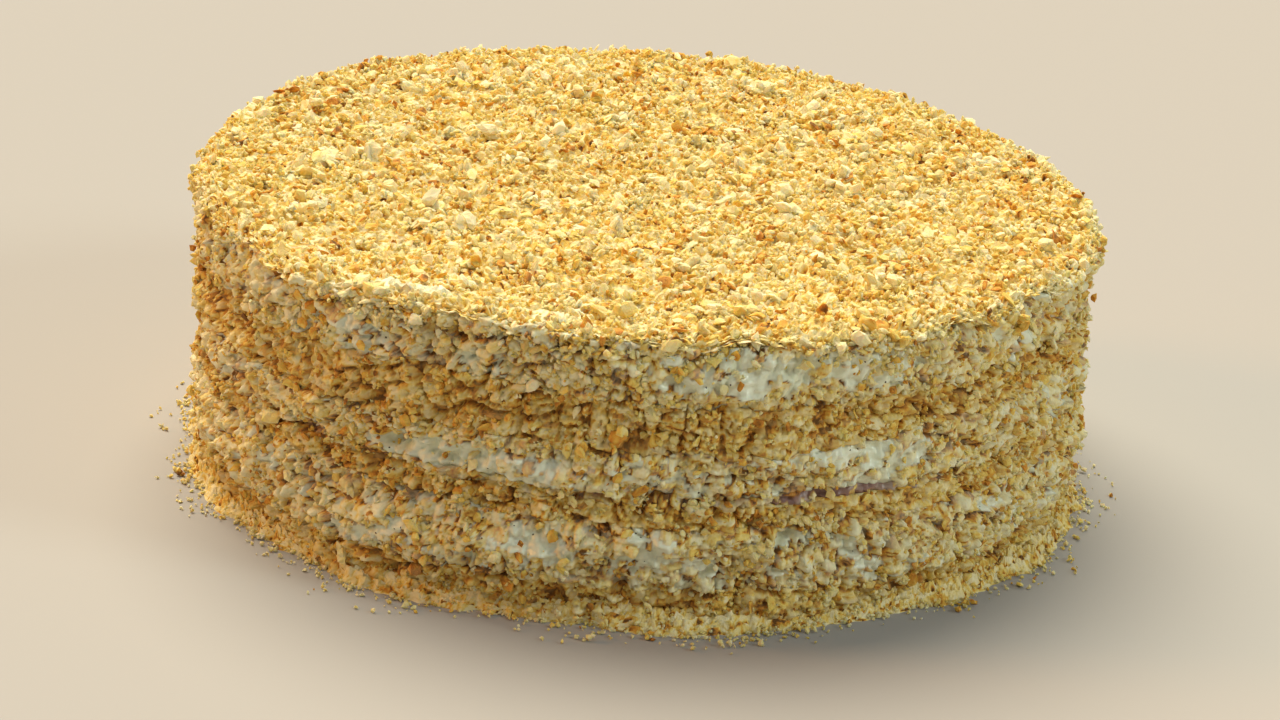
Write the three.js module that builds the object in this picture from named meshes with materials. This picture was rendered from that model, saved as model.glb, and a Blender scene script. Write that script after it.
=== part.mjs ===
// A whole, uncut Napoleon: a round cake of crisp pastry and custard cream in layers,
// with a thin layer of berry jam, coated in broken pastry crumbs.
//
// Millimetres, +Z up. The cake stands on the plane z = 0 with its axis on the Z axis.
// Every layer runs right through the cake. At the side the cream bulges out,
// the pastry and the jam lie a little further in, and nothing is perfectly round or level.
//
// Angles are in radians, counted from the front (-Y) towards the right (+X).

import * as THREE from 'three';

// Driving dimensions.
const CAKE_RADIUS = 118.5; // mean radius of the side
const SEGMENTS = 70; // steps round the cake
const GAP = 0.3; // clearance between two neighbours
const INNER_RADIUS = 100; // outside it the layers keep their waves, inside it they flatten out

// The layers from the bottom up.
// top: height of the upper face at the side.
// wave, phase: how far that face rises and falls round the cake, and where.
// inset: how far the upper and lower edge lie inside CAKE_RADIUS.
// bulge: how far the middle of the side stands out past those edges.
// rows: steps up the side.
const LAYERS = [
  { name: 'pastry_1', top: 10, wave: 0.9, phase: 0.4, inset: 0.4, bulge: -1.3, rows: 4, finish: 'pastry' },
  { name: 'cream_1', top: 27, wave: 1.1, phase: 2.1, inset: 0.3, bulge: 2.0, rows: 6, finish: 'cream' },
  { name: 'pastry_2', top: 32.5, wave: 1.1, phase: 1.7, inset: 1.5, bulge: 0.4, rows: 3, finish: 'pastry' },
  { name: 'jam', top: 34.5, wave: 1.1, phase: 1.7, inset: 2.3, bulge: 0.4, rows: 2, finish: 'jam' },
  { name: 'cream_2', top: 46, wave: 2.4, phase: 4.2, inset: 0.9, bulge: 1.7, rows: 5, finish: 'cream' },
  { name: 'pastry_3', top: 57.5, wave: 1.6, phase: 1.1, inset: 1.2, bulge: 0.8, rows: 4, finish: 'pastry' },
  { name: 'cream_3', top: 70, wave: 0.7, phase: 0.9, inset: 1.2, bulge: 1.4, rows: 6, finish: 'cream' },
];

// The bed of crumbs on top, which hangs over the side in an uneven, rounded rim.
const BED_TOP = 75; // mean height of its upper face
const BED_INSET = 0.6; // its lower edge lies this far inside CAKE_RADIUS
const RIM_OUT = 1.4; // the rim stands out this far past the lower edge
const RIM_ROUNDING = 3.8; // radius of the rounded rim
const BED_RINGS = [110, 100, 86, 70, 52, 34, 17]; // radii of the rings of its upper face
const BED_BUMP = 0.9; // rise and fall of its upper face

// The crumbs that have dropped off the side and lie heaped against the foot.
const FOOT_WIDTH = 3.6; // mean width of the heap
const FOOT_UNEVENNESS = 1.5; // how much that width varies
const FOOT_ROWS = 2; // it reaches up this many rows of pastry_1
const FOOT_GAP = 0.6; // clearance between the heap and pastry_1, whose facets slant the other way

// How far the plan of the cake strays from a circle: [waves round the cake, phase, depth].
const LOBES = [
  [2, 0.6, 0.9],
  [3, 2.4, 0.7],
  [5, 4.4, 0.4],
];

// Lumps of the coating on the side: [waves round the cake, waves per 100 mm of height, phase, depth].
const LUMPS = [
  [11, 3.1, 0.3, 0.45],
  [16, -4.7, 1.9, 0.4],
  [19, 6.3, 4.1, 0.3],
  [9, -8.9, 5.3, 0.3],
];

// Bumps of the crumb bed: [waves across 100 mm along X, the same along Y, phase].
const BUMPS = [
  [2.7, 1.9, 0.8],
  [-3.4, 2.3, 2.9],
  [1.6, -4.1, 5.1],
];

const FINISHES = {
  pastry: { color: 0xb08447, roughness: 0.85 },
  cream: { color: 0xd8d2ae, roughness: 0.4 },
  jam: { color: 0x7a4a45, roughness: 0.35 },
  crumbs: { color: 0xe9c878, roughness: 0.9 },
};

const TURN = 2 * Math.PI;

// A sum of cosines round the cake, in millimetres.
function lobes(angle) {
  return LOBES.reduce((sum, [waves, phase, depth]) => sum + depth * Math.cos(waves * angle + phase), 0);
}

// A sum of slanted waves over the side, in millimetres.
function lumps(angle, height) {
  return LUMPS.reduce(
    (sum, [round, up, phase, depth]) =>
      sum + depth * Math.cos(round * angle + (up * TURN * height) / 100 + phase),
    0,
  );
}

// The mean of crossing waves over the crumb bed, from -1 to 1.
function bumps(x, y) {
  const sum = BUMPS.reduce(
    (total, [along, across, phase]) => total + Math.cos((TURN * (along * x + across * y)) / 100 + phase),
    0,
  );
  return sum / BUMPS.length;
}

// Height of the boundary on top of a layer. It is level at the axis and wavy at the side.
function boundaryHeight(layer, angle, radius) {
  const share = Math.min(radius / INNER_RADIUS, 1);
  const sway = 0.7 * Math.cos(2 * angle + layer.phase) + 0.3 * Math.cos(5 * angle + 2 * layer.phase);
  return layer.top + layer.wave * share * sway;
}

// A closed body turned about the Z axis, whose rows run from the axis underneath to the axis on top.
// place(row, angle) gives a row's radius and height at that angle.
function turnedBody(rowCount, place) {
  const profile = Array.from({ length: rowCount }, (_, row) => new THREE.Vector2(1, row));
  const geometry = new THREE.LatheGeometry(profile, SEGMENTS);
  const position = geometry.getAttribute('position');
  for (let vertex = 0; vertex < position.count; vertex += 1) {
    const row = vertex % rowCount;
    const step = Math.floor(vertex / rowCount) % SEGMENTS;
    const angle = (TURN * step) / SEGMENTS;
    const [radius, height] = place(row, angle);
    position.setXYZ(vertex, radius * Math.sin(angle), -radius * Math.cos(angle), height);
  }
  geometry.computeVertexNormals();
  return geometry;
}

// Radius and height of the side of a layer, from share 0 at its lower edge to 1 at its upper edge.
function sidePoint(index, share, angle) {
  const layer = LAYERS[index];
  const low = index === 0 ? 0 : boundaryHeight(LAYERS[index - 1], angle, CAKE_RADIUS) + GAP / 2;
  const high = boundaryHeight(layer, angle, CAKE_RADIUS) - GAP / 2;
  const height = low + (high - low) * share;
  const swell = layer.bulge * Math.sin(Math.PI * share);
  const radius = CAKE_RADIUS - layer.inset + swell + lobes(angle) + lumps(angle, height);
  return [radius, height];
}

// A layer: a disc whose two faces are a little wavy, with the side's profile between them.
function layerGeometry(index) {
  const { rows } = LAYERS[index];
  const place = (row, angle) => {
    if (row < 2) {
      const radius = row * INNER_RADIUS;
      const height = index === 0 ? 0 : boundaryHeight(LAYERS[index - 1], angle, radius) + GAP / 2;
      return [radius, height];
    }
    if (row > rows + 2) {
      const radius = (rows + 4 - row) * INNER_RADIUS;
      return [radius, boundaryHeight(LAYERS[index], angle, radius) - GAP / 2];
    }
    return sidePoint(index, (row - 2) / rows, angle);
  };
  return turnedBody(rows + 5, place);
}

// The crumb bed: flat underneath like a layer, a rounded overhanging rim, and a bumpy upper face.
function bedGeometry() {
  const below = LAYERS[LAYERS.length - 1];
  const rimSteps = 4;
  const rimStart = 3;
  const ringStart = rimStart + rimSteps + 1;
  const place = (row, angle) => {
    const edge = CAKE_RADIUS - BED_INSET + lobes(angle);
    if (row < rimStart) {
      const radius = [0, INNER_RADIUS, edge + lumps(angle, below.top)][row];
      return [radius, boundaryHeight(below, angle, radius) + GAP / 2];
    }
    if (row < ringStart) {
      const bend = ((row - rimStart) / rimSteps) * (Math.PI / 2);
      const reach = edge + RIM_OUT + lumps(angle, BED_TOP) - RIM_ROUNDING;
      const radius = reach + RIM_ROUNDING * Math.cos(bend);
      const height = BED_TOP - RIM_ROUNDING + RIM_ROUNDING * Math.sin(bend);
      return [radius, height + 0.5 * BED_BUMP * bumps(radius * Math.sin(angle), -radius * Math.cos(angle))];
    }
    const radius = BED_RINGS[row - ringStart] ?? 0;
    const bump = BED_BUMP * bumps(radius * Math.sin(angle), -radius * Math.cos(angle));
    return [radius, BED_TOP + bump];
  };
  return turnedBody(ringStart + BED_RINGS.length + 1, place);
}

// The heap at the foot: a low ring with a sloping outer face, whose inner face follows pastry_1.
function footGeometry() {
  const innerRows = FOOT_ROWS + 1;
  const place = (row, angle) => {
    const inner = Array.from({ length: innerRows }, (_, step) => sidePoint(0, step / LAYERS[0].rows, angle));
    const [baseRadius] = inner[0];
    const [, crestHeight] = inner[FOOT_ROWS];
    const width = FOOT_WIDTH + FOOT_UNEVENNESS * Math.sin(7 * angle + 2 * Math.sin(3 * angle));
    const outline = [
      [baseRadius + width, 0],
      [baseRadius + 0.5 * width, 0.4 * crestHeight],
      ...inner.reverse().map(([radius, height]) => [radius + FOOT_GAP, height]),
    ];
    return outline[row % outline.length];
  };
  return turnedBody(innerRows + 3, place);
}

function addPiece(group, name, geometry, finish) {
  const material = new THREE.MeshStandardMaterial({ ...FINISHES[finish], metalness: 0 });
  const mesh = new THREE.Mesh(geometry, material);
  mesh.name = name;
  group.add(mesh);
}

function buildCake() {
  const cake = new THREE.Group();
  LAYERS.forEach(({ name, finish }, index) => addPiece(cake, name, layerGeometry(index), finish));
  addPiece(cake, 'crumb_topping', bedGeometry(), 'crumbs');
  addPiece(cake, 'foot_crumbs', footGeometry(), 'crumbs');

  // The plan isn't quite round, so the middle of its box is brought onto the axis.
  const centre = new THREE.Box3().setFromObject(cake, true).getCenter(new THREE.Vector3());
  cake.children.forEach((piece) => piece.geometry.translate(-centre.x, -centre.y, 0));
  return cake;
}

export default buildCake();
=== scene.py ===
"""A whole, uncut Napoleon cake: pastry and custard cream in layers with a little jam, coated in
broken pastry crumbs, standing on a plain floor.

Metres throughout, +Z up. Sizes of relief and crumbs are named in millimetres and multiplied by MM.
Angles run in radians from the front (-Y) towards the right (+X), as a baker would turn the cake.
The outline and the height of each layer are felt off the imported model, so the looks follow it.
"""
import math

import bpy
import numpy as np
from mathutils import Matrix, Vector
from mathutils.bvhtree import BVHTree


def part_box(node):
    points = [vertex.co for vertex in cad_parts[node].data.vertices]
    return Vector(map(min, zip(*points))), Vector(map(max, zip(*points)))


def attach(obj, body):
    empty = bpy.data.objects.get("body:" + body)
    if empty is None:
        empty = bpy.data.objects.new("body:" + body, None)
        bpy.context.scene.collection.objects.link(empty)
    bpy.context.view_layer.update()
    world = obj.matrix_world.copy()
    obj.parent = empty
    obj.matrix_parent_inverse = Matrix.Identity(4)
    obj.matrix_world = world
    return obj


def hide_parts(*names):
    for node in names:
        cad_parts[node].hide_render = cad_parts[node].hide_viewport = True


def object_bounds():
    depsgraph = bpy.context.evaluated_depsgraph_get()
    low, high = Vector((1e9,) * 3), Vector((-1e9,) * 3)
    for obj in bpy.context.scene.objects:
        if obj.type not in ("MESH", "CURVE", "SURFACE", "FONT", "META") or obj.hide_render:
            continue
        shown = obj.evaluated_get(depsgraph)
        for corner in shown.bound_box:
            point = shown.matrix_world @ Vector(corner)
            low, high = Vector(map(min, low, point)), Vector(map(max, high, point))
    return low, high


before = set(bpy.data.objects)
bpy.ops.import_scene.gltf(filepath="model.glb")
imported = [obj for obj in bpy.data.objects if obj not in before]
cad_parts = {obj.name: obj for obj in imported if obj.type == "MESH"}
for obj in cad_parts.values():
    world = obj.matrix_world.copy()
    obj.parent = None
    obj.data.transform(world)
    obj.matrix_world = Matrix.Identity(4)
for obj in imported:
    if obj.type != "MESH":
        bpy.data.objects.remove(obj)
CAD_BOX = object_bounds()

MM = 0.001
TURN = 2 * math.pi
SEED = 24

# The layers from the bottom up: CAD node, what it is made of.
LAYERS = [
    ("pastry_1", "pastry"),
    ("cream_1", "cream"),
    ("pastry_2", "pastry"),
    ("jam", "jam"),
    ("cream_2", "cream"),
    ("pastry_3", "pastry"),
    ("cream_3", "cream"),
]
BED = "crumb_topping"
FOOT = "foot_crumbs"

# ---- the form, felt off the frame

PROBE_ANGLES = 280  # rays round the cake
PROBE_STEP = 1.0 * MM  # between rays up the side
PROBE_FROM = 200 * MM  # rays inwards start well outside the cake
PROBE_ABOVE = 1.0  # and rays downwards well above it
LEDGE_RADIUS = 110 * MM  # where the height of a layer's upper face is felt
FOOT_LEVEL = 0.2 * MM  # where the edge of the heap at the foot is felt
ROUND_WAVES = 26  # the finest wave round the cake that the felt outline keeps
OUTDO_ROWS = 2  # a ray that slips in is outdone by those this many rows above and below
BLEND_ROWS = 6  # the outline is then evened out over this many rows above and below
COAT = 3.2 * MM  # the felt outline is the outer face of the loose crumbs, this thick on the cake


def tree_of(nodes):
    """One search tree over the triangles of some CAD nodes."""
    points, faces = [], []
    for node in nodes:
        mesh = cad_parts[node].data
        start = len(points)
        points += [v.co.copy() for v in mesh.vertices]
        faces += [[start + i for i in p.vertices] for p in mesh.polygons]
    return BVHTree.FromPolygons(points, faces)


def soften(values, waves):
    """Values round the cake along the last axis, as a sum of at most so many waves."""
    spectrum = np.fft.rfft(values, axis=-1)
    keep = np.exp(-((np.arange(spectrum.shape[-1]) / waves) ** 4))
    return np.fft.irfft(spectrum * keep, values.shape[-1], axis=-1)


def outwards(step):
    """The way outwards at a step round the cake."""
    angle = TURN * step / PROBE_ANGLES
    return Vector((math.sin(angle), -math.cos(angle), 0))


def felt_ring(tree, height, missed):
    """The radius at a height by angle, from rays that run inwards to the axis. Where a ray slips in
    between two layers, it is the value given for it."""
    found = np.array(missed)
    for step in range(PROBE_ANGLES):
        out = outwards(step)
        hit = tree.ray_cast(out * PROBE_FROM + Vector((0, 0, height)), -out)[0]
        if hit:
            found[step] = hit.xy.length
    return found


def over_rows(rows, reach, gather):
    """Each row becomes what it and the rows up to so far above and below it are gathered to."""
    padded = np.pad(rows, ((reach, reach), (0, 0)), "edge")
    return np.stack([gather(padded[row : row + 2 * reach + 1], 0) for row in range(len(rows))])


def felt_outline():
    """The cake's radius under its coat on a grid of heights and angles. A ray that slips in between
    two layers is outdone by its neighbours, and the rest is softened."""
    tree = tree_of([node for node, _ in LAYERS] + [BED])
    heights = np.arange(0.5 * PROBE_STEP, CAD_BOX[1][2], PROBE_STEP)
    radii = [np.zeros(PROBE_ANGLES)]
    for height in heights:
        radii.append(felt_ring(tree, height, radii[-1]))
    radii = over_rows(radii[1:], OUTDO_ROWS, np.max)
    return heights, soften(over_rows(radii, BLEND_ROWS, np.mean), ROUND_WAVES) - COAT


def felt_top(node):
    """The height of a layer's upper face near the side, from rays that run downwards, by angle."""
    tree = tree_of([node])
    found = []
    for step in range(PROBE_ANGLES):
        above = outwards(step) * LEDGE_RADIUS + Vector((0, 0, PROBE_ABOVE))
        found.append(tree.ray_cast(above, Vector((0, 0, -1)))[0].z)
    return soften(np.array(found), ROUND_WAVES)


def next_rays(angle):
    """The rays to the left and right of an angle, and the share of the way between them."""
    place = (np.asarray(angle) / TURN % 1) * PROBE_ANGLES
    left = np.floor(place).astype(int) % PROBE_ANGLES
    return left, (left + 1) % PROBE_ANGLES, place - np.floor(place)


def round_the_cake(values, angle):
    """Values felt round the cake, read at any angle by straight lines between them."""
    left, right, share = next_rays(angle)
    return values[left] * (1 - share) + values[right] * share


OUTLINE_HEIGHTS, OUTLINE = felt_outline()
TOPS = {node: felt_top(node) for node, _ in LAYERS}
SIDE_ROWS = len(OUTLINE) * 9 // 10  # above them the outline rounds off into the rim
MEAN_RADIUS = float(OUTLINE[:SIDE_ROWS].mean())
SPAN = TURN * MEAN_RADIUS  # the way round the cake


def outline(angle, height):
    """The cake's radius at an angle and a height, by straight lines between the felt values."""
    row = np.interp(height, OUTLINE_HEIGHTS, np.arange(len(OUTLINE_HEIGHTS)))
    low = np.floor(row).astype(int).clip(0, len(OUTLINE) - 2)
    up = row - low
    left, right, along = next_rays(angle)
    lower = OUTLINE[low, left] * (1 - along) + OUTLINE[low, right] * along
    upper = OUTLINE[low + 1, left] * (1 - along) + OUTLINE[low + 1, right] * along
    return lower * (1 - up) + upper * up


# ---- relief

FREE_COLUMNS = 997  # columns of a lattice before it repeats, where it needn't join up
NOISE_ROWS, CELL_ROWS = 257, 409  # rows before it repeats
NOISE_START, CELL_START = 7, 5  # rows that a lattice begins below the floor
BEYOND = 9.0  # farther than any cell's point, in pitches


def columns_of(pitch, span):
    """How many columns a lattice has and their pitch. It fits a span a whole number of times."""
    if span is None:
        return FREE_COLUMNS, pitch
    count = max(3, round(span / pitch))
    return count, span / count


def smooth_noise(across, up, pitch_across, pitch_up, seed, span=None):
    """Soft noise from 0 to 1: random numbers on a lattice, blended by smoothed steps. With a span
    the lattice joins up with itself over that length."""
    count, pitch = columns_of(pitch_across, span)
    table = np.random.default_rng(seed).random((count, NOISE_ROWS))
    x, y = across / pitch, up / pitch_up + NOISE_START
    i, j = np.floor(x).astype(int), np.floor(y).astype(int)
    fx, fy = x - i, y - j
    fx, fy = fx * fx * (3 - 2 * fx), fy * fy * (3 - 2 * fy)
    i0, i1, j0, j1 = i % count, (i + 1) % count, j % NOISE_ROWS, (j + 1) % NOISE_ROWS
    low = table[i0, j0] * (1 - fx) + table[i1, j0] * fx
    high = table[i0, j1] * (1 - fx) + table[i1, j1] * fx
    return low * (1 - fy) + high * fy


def noises(across, up, parts, span=SPAN, folded=False):
    """A sum of soft noises, each given by its pitches across and up in millimetres, a seed of its
    own and its depth. Each swings round zero or, folded, rises from creases where it passes it."""
    total = 0.0
    for pitch_across, pitch_up, seed, depth in parts:
        noise = smooth_noise(across, up, pitch_across * MM, pitch_up * MM, SEED + seed, span) - 0.5
        total = total + depth * (np.abs(noise) if folded else noise)
    return total


def nearest_cells(across, up, pitch_across, pitch_up, seed, span=None):
    """Cells round scattered points, one to each lattice square. Gives for each place the cell's
    number, the offset from its point in pitches, how far inside the cell it is, and the points."""
    count, pitch = columns_of(pitch_across, span)
    jitter = np.random.default_rng(seed).random((2, count, CELL_ROWS))
    x, y = across / pitch, up / pitch_up + CELL_START
    i, j = np.floor(x).astype(int), np.floor(y).astype(int)
    best = np.full(x.shape, BEYOND)
    second = np.full(x.shape, BEYOND)
    cell = np.zeros(x.shape, int)
    dx, dy = np.zeros(x.shape), np.zeros(x.shape)
    for a in (-1, 0, 1):
        for b in (-1, 0, 1):
            ci, cj = (i + a) % count, (j + b) % CELL_ROWS
            ox = x - (i + a) - jitter[0, ci, cj]
            oy = y - (j + b) - jitter[1, ci, cj]
            far = np.hypot(ox, oy)
            nearer = far < best
            second = np.where(nearer, best, np.minimum(second, far))
            best = np.where(nearer, far, best)
            cell = np.where(nearer, ci * CELL_ROWS + cj, cell)
            dx, dy = np.where(nearer, ox, dx), np.where(nearer, oy, dy)
    centre_x = (np.arange(count)[:, None] + jitter[0]) * pitch
    centre_y = (np.arange(CELL_ROWS)[None, :] + jitter[1] - CELL_START) * pitch_up
    return cell, dx, dy, second - best, (centre_x.ravel(), centre_y.ravel())


# Grades of crumbs pressed into the coat: pitch along and up, how far they stand out, the share of
# their cells that holds one, and how strongly they keep off bare cream. Millimetres.
COAT_GRADES = [
    (1.2, 1.1, 0.7, 1.0, 2.5),
    (2.1, 1.8, 1.4, 0.6, 1.0),
    (3.6, 2.8, 2.0, 0.25, 0.6),
]
# Broken edges of pastry sheets, longer than high.
FLAKY_GRADES = [
    (1.3, 1.0, 0.6, 1.0, 1.0),
    (2.7, 1.3, 1.2, 0.6, 1.0),
    (4.4, 1.6, 1.7, 0.25, 1.0),
]
CREVICE = 0.8 * MM  # how deep the coat is between its crumbs
CREVICE_PAINTED_SHADE = 1.1  # painted shade: the crevices between the crumbs are coloured dark brown
COAT_TONE = 0.84  # the most that a pressed crumb is browned
LEAST_RISE = 0.35  # the flattest crumb of a grade, as a share of the tallest
LEAN = 1.1  # how steeply crumbs tilt
FALL_OFF = 0.25  # how much of a cell its crumb takes to fall off at the rim
VEIL = 0.65  # the most cream smeared over a pressed crumb
TORN_HALF = 0.55  # below this cover the ground between the crumbs is bare filling
GRIT_PITCH, GRIT_DEPTH = 0.8 * MM, 0.7 * MM  # grit all over the coat
CREASE_ALONG, CREASE_UP, CREASE_DEPTH = 1.9 * MM, 1.7 * MM, 1.8 * MM  # and creases in it
CREASE_MEAN = 0.18  # keeps the creased coat at its mean height
CREASE_WIDTH, CREASE_PAINTED_SHADE = 0.12, 0.5  # where a crease is darkened as painted shade, and how much


def crumb_coat(across, up, cover, grades, seed, span=None):
    """A coat of crumbs. Each cell that holds a crumb is a tilted facet that falls off at its rim,
    and the highest facet shows. Gives the relief, each crumb's browning with painted shade in the
    crevices between crumbs and in the creases, and how clean it is of cream: 1 is a dry crumb, 0 is
    bare cream."""
    relief = np.full(across.shape, -CREVICE)
    # painted shade: the crevices start out dark brown, under the crumbs
    browning = np.full(across.shape, CREVICE_PAINTED_SHADE)
    crumbed = np.where(cover(across, up) > TORN_HALF, 1.0, 0.0)
    for grade, (pitch_across, pitch_up, rise, share, shy) in enumerate(grades):
        cell, dx, dy, inside, points = nearest_cells(
            across, up, pitch_across * MM, pitch_up * MM, seed + grade, span
        )
        rng = np.random.default_rng(seed + 50 + grade)
        held, tall, lean_x, lean_y, tone, veil = rng.random((6, len(points[0])))
        held = held < share * cover(*points) ** shy
        rise_here = (CREVICE + rise * (LEAST_RISE + (1 - LEAST_RISE) * tall) * MM)[cell]
        lean = 1 + LEAN * ((lean_x[cell] - 0.5) * dx + (lean_y[cell] - 0.5) * dy)
        level = rise_here * lean * np.sqrt((inside / FALL_OFF).clip(0, 1)) - CREVICE
        better = held[cell] & (level > relief)
        relief = np.where(better, level, relief)
        browning = np.where(better, COAT_TONE * tone[cell], browning)
        crumbed = np.where(better, 1 - VEIL * veil[cell] ** 2, crumbed)
    grit = smooth_noise(across, up, GRIT_PITCH, GRIT_PITCH, seed + 90, span) - 0.5
    creases = np.abs(smooth_noise(across, up, CREASE_ALONG, CREASE_UP, seed + 91, span) - 0.5)
    rough = GRIT_DEPTH * grit + CREASE_DEPTH * (creases - CREASE_MEAN)
    # painted shade: the creases in the coat are darkened
    dark = CREASE_PAINTED_SHADE * (1 - creases / CREASE_WIDTH).clip(0, 1)
    return relief + crumbed * rough, browning + dark * crumbed, crumbed


# Where the cream shows between the crumbs at the side: angle in degrees, height, half width in
# degrees, half height, how bare (1 is nearly clean). Heights in millimetres.
BARE = [
    (8, 65, 7, 6, 0.9), (20, 66, 7, 5, 1.0), (30, 63, 7, 6, 0.8), (36, 69, 6, 5, 0.7),
    (13, 58, 5, 3, 0.7), (-24, 38, 10, 4, 1.0), (-12, 37, 5, 3, 0.8), (4, 40, 6, 4, 0.7),
    (22, 45, 7, 5, 0.8), (33, 42, 5, 4, 0.9), (-12, 20, 6, 3.5, 0.9), (5, 21, 5, 6, 0.6),
    (-28, 18, 8, 6, 0.5), (-38, 63, 6, 5, 0.7), (27, 34, 8, 3, 1.0), (18, 33, 4, 2.5, 0.7),
    (41, 30, 4, 4, 0.6), (55, 62, 6, 6, 0.6), (34, 13, 6, 4, 0.5), (62, 20, 6, 5, 0.5),
    (-52, 22, 5, 4, 0.5), (-60, 68, 6, 4, 0.5), (70, 44, 6, 4, 0.5), (-75, 40, 6, 4, 0.5),
    (95, 64, 8, 4, 0.7), (118, 22, 7, 4, 0.8), (132, 40, 8, 4, 0.8), (150, 63, 9, 5, 0.8),
    (171, 19, 6, 5, 0.6), (186, 42, 9, 4, 0.9), (204, 64, 7, 5, 0.8), (226, 22, 9, 4, 0.7),
    (243, 40, 6, 4, 0.7), (258, 63, 8, 4, 0.6),
]
TAPER = 1.0 * MM  # the side leans in by this much towards the floor
# Hollows between cream and pastry, after a broad flat one low on the left: angle, height, half
# width in degrees, half height, depth in mm.
HOLLOWS = [
    (-95, 14, 38, 32, 1.8),
    (-29, 38.5, 2.0, 2.0, 3.6), (-18, 39.5, 1.6, 1.6, 3.2), (12, 57.5, 6, 1.5, 2.0),
    (-3, 30, 8, 1.4, 1.6), (33, 32, 5, 1.1, 1.8), (21, 31, 5, 1.0, 1.4), (-36, 38, 5, 1.2, 1.8),
    (60, 58, 6, 1.4, 2.0), (104, 37, 5, 1.8, 2.4), (141, 58, 7, 1.4, 2.0), (178, 31, 8, 1.2, 1.8),
    (214, 38, 4, 1.8, 2.8), (236, 57, 6, 1.4, 2.2), (265, 31, 6, 1.3, 2.0),
]
# Lumps of cream pushed out between the sheets, as for the hollows but outwards.
LUMPS = [
    (-25, 16, 9, 8, 2.6), (4, 20, 6, 7, 1.8), (28, 18, 9, 6, 1.4), (10, 64, 8, 6, 1.2),
    (24, 66, 7, 6, 1.2), (-12, 36, 7, 4, 1.2), (22, 43, 6, 5, 1.3), (95, 20, 9, 7, 2.0),
    (150, 63, 9, 6, 1.4), (186, 40, 9, 5, 1.6), (226, 20, 10, 7, 2.2), (-66, 18, 8, 7, 1.8),
]


def patches(angle, height, places):
    """A sum of soft-edged ovals on the side, each bell-shaped, scaled by its last number."""
    total = np.zeros(np.shape(angle))
    for centre, level, half_width, half_height, amount in places:
        away = (np.degrees(angle) - centre + 180) % 360 - 180
        oval = (away / half_width) ** 2 + ((height / MM - level) / half_height) ** 2
        total = total + amount * np.exp(-(oval**1.5))
    return total


def full_cover(across, up):
    """Crumbs lie everywhere."""
    return np.ones(np.shape(across))


# How a torn coat thins out: its cover where whole, how much of it goes, from which tear on, over
# how much more, and the least that is left.
SIDE_THINS = (1.1, 1.1, 0.3, 0.3, 0.13)
JAM_THINS = (1.1, 1.0, 0.25, 0.3, 0.2)
BED_THINS = (1.0, 0.65, 0.35, 0.25, 0.35)


def crumbs_left(torn, whole, gone, start, width, least):
    """The share that crumbs cover: it falls evenly from where a tear starts."""
    return (whole - gone * ((torn - start) / width).clip(0, 1)).clip(least, 1)


# Where the jam shows, as for the cream.
JAM_BARE = [(27, 33.5, 9, 4, 1.1), (64, 33, 5, 4, 0.6), (148, 33, 7, 4, 0.8), (-110, 33, 8, 4, 0.8)]

# Soft noises of the side, as noises() takes them: the torn edges of bare cream and jam, lumps and
# swells, gaps between clots, and the smears and folds of spread cream.
TEARS = [(7, 4.5, 1, 1.2), (2.6, 2.0, 2, 1.3)]
JAM_TEARS = [(2.2, 1.6, 13, 0.8)]
SWELLS = [(24, 12, 3, 2.3), (9, 6, 4, 2.0), (4, 3.4, 9, 2.0)]
WIDE_GAPS, WIDE_DEPTH = [(8, 6, 14, 1 / 0.09)], 1.0
TIGHT_GAPS, TIGHT_DEPTH = [(4.2, 3.4, 15, 1 / 0.08)], 0.8
SMEARS = [(12, 4, 5, 0.8)]
FOLDS = [(5.0, 3.6, 16, 4.0), (2.4, 2.0, 17, 3.4), (1.4, 1.2, 7, 2.0)]
MEAN_FOLD = 1.7  # keeps the folded cream at its mean height, in mm
SLANT = 0.4  # the smears climb to the left by this much
GAP_DEPTH = 2.8  # in mm
GAPS_END = 1.6  # how soon the gaps end towards bare cream


def side_cover(along, height):
    """The share of the side that crumbs cover, by the way along it and the height: torn patches
    where the cream shows, broken up by two sizes of noise."""
    torn = patches(along / MEAN_RADIUS, height, BARE) + noises(along, height, TEARS)
    return crumbs_left(torn, *SIDE_THINS)


def jam_cover(along, height):
    """The share of the jam that crumbs cover: it shows in a few streaks only."""
    torn = patches(along / MEAN_RADIUS, height, JAM_BARE) + noises(along, height, JAM_TEARS)
    return crumbs_left(torn, *JAM_THINS)


def side_gaps(along, height):
    """Winding gaps between the clots of crumbs, where two soft noises pass their middle; bare cream
    has none. Gives how deep in a gap each place is, from 0 to 1."""
    wide = WIDE_DEPTH - noises(along, height, WIDE_GAPS, folded=True)
    tight = TIGHT_DEPTH - noises(along, height, TIGHT_GAPS, folded=True)
    bare = patches(along / MEAN_RADIUS, height, BARE)
    return np.maximum(wide, tight).clip(0, 1) * (1 - GAPS_END * bare).clip(0, 1)


def side_form(angle, height):
    """The large lumps and hollows of the side, on top of the felt outline, in metres."""
    along = angle * MEAN_RADIUS
    form = noises(along, height, SWELLS) - GAP_DEPTH * side_gaps(along, height)
    form = form + patches(angle, height, LUMPS) - patches(angle, height, HOLLOWS)
    return form * MM - TAPER * (1 - height / CAD_BOX[1][2])


def spread_cream(along, height):
    """Cream pressed out between the sheets: soft lumps that meet in creases, which are noises
    folded at their middle, over long low smears."""
    smear = noises(along + SLANT * height, height, SMEARS)
    return (smear + noises(along, height, FOLDS, folded=True) - MEAN_FOLD) * MM


# ---- meshes

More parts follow.
